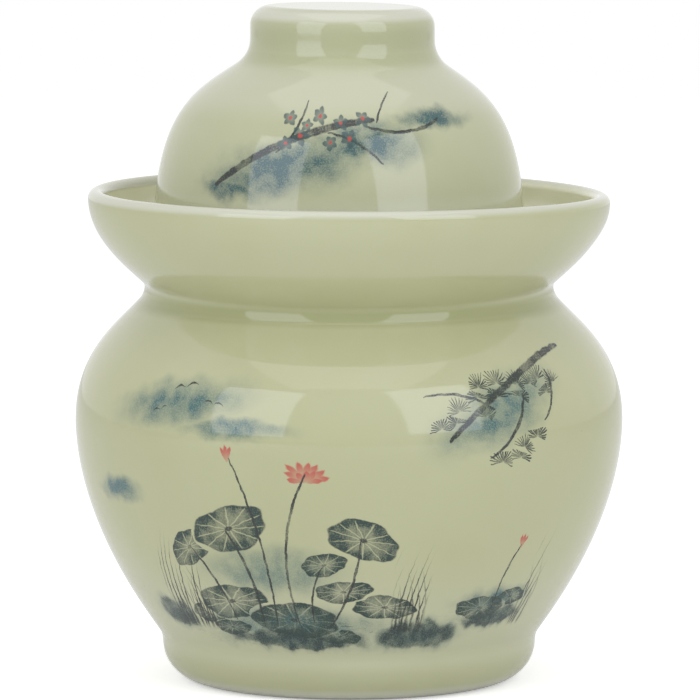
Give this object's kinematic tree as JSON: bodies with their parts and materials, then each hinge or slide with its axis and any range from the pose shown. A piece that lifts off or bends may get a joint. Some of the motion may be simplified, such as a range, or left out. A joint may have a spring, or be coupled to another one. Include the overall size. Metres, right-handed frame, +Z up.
{
  "type": "water seal pickle jar",
  "caption": "Round-bellied ceramic pickle jar with a flared water trough around its neck, an upturned-bowl outer lid standing in the trough and a flat inner lid on the mouth.",
  "frame": {"origin": "centre of the foot ring, on the table", "axes": "+Z up the jar's own axis, through the mouth; +Y to the back; +X to the right, away from the side the outer lid leans to"},
  "size_m": [0.1946, 0.1946, 0.24],
  "materials": {
    "celadon_glaze": "gloss",
    "inner_lid_glaze": "gloss"
  },
  "bodies": {
    "jar": {"jar_body": "celadon_glaze"},
    "outer_lid": {"outer_lid": "celadon_glaze"},
    "inner_lid": {"inner_lid": "inner_lid_glaze"}
  },
  "joints": [
    {"name": "outer_lid_lift", "type": "slide", "parent": "jar", "child": "outer_lid", "axis": [0, 0, 1], "range_m": [0, 0.16]},
    {"name": "inner_lid_lift", "type": "slide", "parent": "jar", "child": "inner_lid", "axis": [0, 0, 1], "range_m": [0, 0.08]}
  ],
  "couplings": [
    {"joint": "inner_lid_lift", "follows": "outer_lid_lift", "ratio": 0.5}
  ]
}
